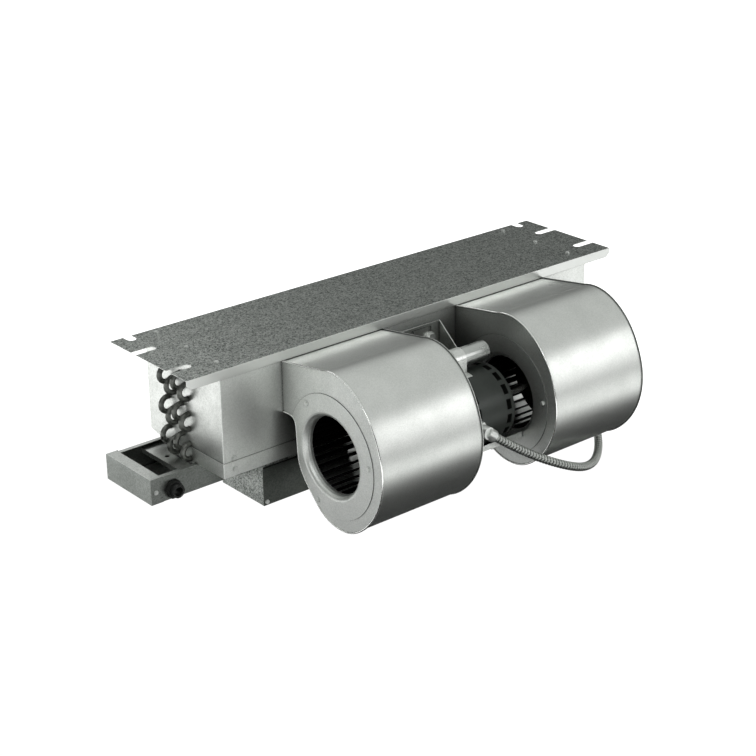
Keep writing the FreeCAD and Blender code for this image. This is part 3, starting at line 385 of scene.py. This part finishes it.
def evenly(line, step):
    """Points about a step apart along a line, with its ends, and the line's length."""
    lengths = [0.0]
    for a, b in zip(line, line[1:]):
        lengths.append(lengths[-1] + (b - a).length)
    count = max(2, round(lengths[-1] / step))
    out = []
    index = 0
    for number in range(count + 1):
        want = lengths[-1] * number / count
        while index < len(line) - 2 and lengths[index + 1] < want:
            index += 1
        part = (want - lengths[index]) / max(lengths[index + 1] - lengths[index], 1e-9)
        out.append(line[index].lerp(line[index + 1], part))
    return out, lengths[-1]


def direction(line, index):
    """Unit vector along a line at one of its points."""
    return (line[min(index + 1, len(line) - 1)] - line[max(index - 1, 0)]).normalized()


def tube_along(name, line, radius_at, sides, material):
    """Tube whose radius follows the distance and the angle round it."""
    verts = []
    faces = []
    side = Vector((0, 1, 0))
    run = 0.0
    for index, place in enumerate(line):
        ahead = direction(line, index)
        side = (side - ahead * side.dot(ahead)).normalized()
        other = ahead.cross(side)
        if index:
            run += (place - line[index - 1]).length
        for corner in range(sides):
            angle = 2 * math.pi * corner / sides
            radius = radius_at(run, corner / sides)
            verts.append(place + (side * math.cos(angle) + other * math.sin(angle)) * radius)
    for ring in range(len(line) - 1):
        for corner in range(sides):
            following = (corner + 1) % sides
            faces.append((ring * sides + corner, ring * sides + following,
                          (ring + 1) * sides + following, (ring + 1) * sides + corner))
    faces.append(tuple(reversed(range(sides))))
    last = (len(line) - 1) * sides
    faces.append(tuple(range(last, last + sides)))
    return mesh_object(name, verts, faces, material, smooth=True)


def conduit_radius(run, turn):
    """Interlocked strip: broad rounded ridges that wind along the conduit."""
    across = 2 * ((run / RIDGE_PITCH - turn) % 1.0) / RIDGE_SHARE - 1
    ridge = math.sqrt(max(0.0, 1 - across ** 2))
    return CONDUIT_D / 2 - RIDGE_DEPTH + RIDGE_DEPTH * ridge


def paint_valley_shade(tube, step):
    """Gives the second material, painted shade, to the faces between the ridges."""
    tube.data.materials.append(conduit_valley_shade)
    floor_radius = CONDUIT_D / 2 - RIDGE_DEPTH * 0.8
    end_caps = 2
    for index, poly in enumerate(tube.data.polygons[:-end_caps]):
        run = index // CONDUIT_SIDES * step
        turn = (index % CONDUIT_SIDES + 0.5) / CONDUIT_SIDES
        if conduit_radius(run, turn) < floor_radius:
            poly.material_index = 1


def add_conduit():
    line, length = evenly(smooth_line(ROUTE, "conduit_route"), CONDUIT_STEP)
    tube = tube_along("conduit_tube", line, conduit_radius, CONDUIT_SIDES, conduit_zinc)
    paint_valley_shade(tube, length / (len(line) - 1))
    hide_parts("flexible_conduit")
    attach(tube, "chassis")


# rolled seams on the scroll sides that look left
SEAM_RADIUS = 1.3
SEAM_INSET = 1.4
SEAM_STEP = 3.0
ON_FACE = 0.05
ON_DECK = 0.1


def outer_rim(name):
    """Points, in millimetres, along the free edge of a side's left face, from deck to deck."""
    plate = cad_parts[name]
    places = [plate.matrix_world @ vert.co / MM for vert in plate.data.vertices]
    face_x = min(place.x for place in places)
    uses = {}
    for poly in plate.data.polygons:
        corners = [tuple(round(c, 2) for c in places[index]) for index in poly.vertices]
        if all(abs(corner[0] - face_x) < ON_FACE for corner in corners):
            for edge in zip(corners, corners[1:] + corners[:1]):
                uses[frozenset(edge)] = uses.get(frozenset(edge), 0) + 1
    beside = {}
    for edge in uses:
        if uses[edge] == 1:
            first, second = edge
            beside.setdefault(first, []).append(second)
            beside.setdefault(second, []).append(first)
    back = max(corner[1] for corner in beside)
    here = max((corner for corner in beside if corner[1] > back - ON_DECK),
               key=lambda corner: corner[2])
    before = None
    line = [here]
    while len(line) == 1 or here[1] < back - ON_DECK:
        ahead = [corner for corner in beside[here] if corner != before and
                 not (len(line) == 1 and corner[1] > back - ON_DECK)]
        before, here = here, ahead[0]
        line.append(here)
    return [Vector(corner) for corner in line]


def add_seam(name):
    """Round bead along a scroll side, just inside its free edge."""
    rim = outer_rim(name)
    inset = []
    for index, place in enumerate(rim):
        inward = Vector((1, 0, 0)).cross(direction(rim, index))
        inset.append(place + inward * SEAM_INSET)
    line, _ = evenly(inset, SEAM_STEP)
    seam = tube_along(name + "_seam", line, lambda run, turn: SEAM_RADIUS, 10, seam_zinc)
    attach(seam, "chassis")


# fins of the coil
FIN_PITCH = 2.4
FIN_SHEET = 0.25
BOX_SIDES = ((0, 1, 3, 2), (4, 6, 7, 5), (0, 4, 5, 1), (2, 3, 7, 6), (0, 2, 6, 4), (1, 5, 7, 3))


def add_fins():
    """Thin upright fins, side by side through the solid block's box."""
    low, high = ([c / MM for c in corner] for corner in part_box("coil_fins"))
    verts = []
    faces = []
    count = int((high[0] - low[0] - FIN_SHEET) / FIN_PITCH) + 1
    for number in range(count):
        start = len(verts)
        left = low[0] + number * FIN_PITCH
        verts += [(x, y, z) for x in (left, left + FIN_SHEET) for y in (low[1], high[1])
                  for z in (low[2], high[2])]
        faces += [tuple(start + corner for corner in side) for side in BOX_SIDES]
    fins = mesh_object("fin_pack", verts, faces, fin_metal)
    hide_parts("coil_fins")
    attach(fins, "chassis")


# floor, world and lamps
FLOOR_HALF = 12.0
FLOOR_HEIGHT = -0.9
# the floor's painted shadow below the unit, in metres from its middle
FLOOR_SHADOW_WITHIN = 1.35
FLOOR_WHITE_BEYOND = 1.9
WORLD_DARK_BELOW = 0.31
WORLD_BRIGHT_ABOVE = 0.62


def floor_material():
    """White to the camera. In the metal's reflections it has a painted shadow below the unit,
    and it fades towards the right."""
    material = bpy.data.materials.new("white_studio_floor")
    tree, coords = start_tree(material)
    place = coords["Object"]
    reach = add_node(tree, "ShaderNodeVectorMath", {0: place}, operation="LENGTH")["Value"]
    far = add_node(tree, "ShaderNodeMapRange", {0: reach, 1: FLOOR_SHADOW_WITHIN,
                                                2: FLOOR_WHITE_BEYOND})[0]
    # painted shadow: the floor's own colour is dark near the unit, pale further out
    colour = add_node(tree, "ShaderNodeMix", {0: far, 6: linear("#3C3C3C"), 7: linear("#F4F4F4")},
                      data_type="RGBA")[2]
    matt = add_node(tree, "ShaderNodeBsdfPrincipled", {"Base Color": colour, "Roughness": 0.9})
    right = add_node(tree, "ShaderNodeSeparateXYZ", {0: place})["X"]
    fade = add_node(tree, "ShaderNodeMapRange", {0: right, 1: 1.1, 2: 2.0, 3: 0.95, 4: 0.5})[0]
    path = add_node(tree, "ShaderNodeLightPath", {})
    seen = add_node(tree, "ShaderNodeMath", {0: path["Is Camera Ray"], 1: path["Is Transmission Ray"]},
                    operation="MAXIMUM")[0]
    mirrored = add_node(tree, "ShaderNodeMath", {0: path["Is Glossy Ray"], 1: far},
                        operation="MULTIPLY")[0]
    mirrored = add_node(tree, "ShaderNodeMath", {0: mirrored, 1: fade}, operation="MULTIPLY")[0]
    strength = add_node(tree, "ShaderNodeMath", {0: seen, 1: mirrored}, operation="MAXIMUM")[0]
    glow = add_node(tree, "ShaderNodeEmission", {"Color": (1, 1, 1, 1), "Strength": strength})
    both = add_node(tree, "ShaderNodeAddShader", {0: matt["BSDF"], 1: glow[0]})
    add_node(tree, "ShaderNodeOutputMaterial", {"Surface": both[0]})
    return material


def add_floor():
    mesh = bpy.data.meshes.new("floor")
    corners = [(x * FLOOR_HALF, y * FLOOR_HALF, 0) for x, y in ((-1, -1), (1, -1), (1, 1), (-1, 1))]
    mesh.from_pydata(corners, [], [(0, 1, 2, 3)])
    mesh.materials.append(floor_material())
    floor = link(bpy.data.objects.new("floor", mesh))
    floor.location.z = FLOOR_HEIGHT


def add_world():
    """White to the camera, and to the rest a dark horizon under a pale ceiling."""
    world = bpy.data.worlds.new("studio")
    tree, coords = start_tree(world)
    height = add_node(tree, "ShaderNodeSeparateXYZ", {0: coords["Generated"]})["Z"]
    rise = add_node(tree, "ShaderNodeMapRange", {0: height, 1: WORLD_DARK_BELOW,
                                                 2: WORLD_BRIGHT_ABOVE})[0]
    studio = add_node(tree, "ShaderNodeMix", {0: rise, 6: linear("#303130"), 7: linear("#DCDEDC")},
                      data_type="RGBA")[2]
    path = add_node(tree, "ShaderNodeLightPath", {})
    colour = add_node(tree, "ShaderNodeMix", {0: path["Is Camera Ray"], 6: studio, 7: (1, 1, 1, 1)},
                      data_type="RGBA")[2]
    background = add_node(tree, "ShaderNodeBackground", {"Color": colour, "Strength": 1.0})
    add_node(tree, "ShaderNodeOutputWorld", {"Surface": background[0]})
    scene.world = world


def add_lamp(name, place, target, size, power):
    data = bpy.data.lights.new(name, "AREA")
    data.shape = "RECTANGLE"
    data.size, data.size_y = size
    data.energy = power
    lamp = link(bpy.data.objects.new(name, data))
    lamp.location = place
    aim = Vector(target) - Vector(place)
    lamp.rotation_euler = aim.to_track_quat("-Z", "Y").to_euler()


add_camera()
add_conduit()
add_seam("left_scroll_outer_side")
add_seam("right_scroll_inner_side")
add_fins()
add_floor()
add_world()
add_lamp("key", place=(1.6, -2.0, 0.6), target=(0, -0.2, -0.15), size=(1.6, 0.9), power=11)
add_lamp("fill", place=(-2.2, -2.6, 2.4), target=(0, -0.1, -0.1), size=(1.6, 1.2), power=20)
add_lamp("rear", place=(0.4, 2.6, 2.4), target=(0, 0, 0), size=(2.0, 1.0), power=12)
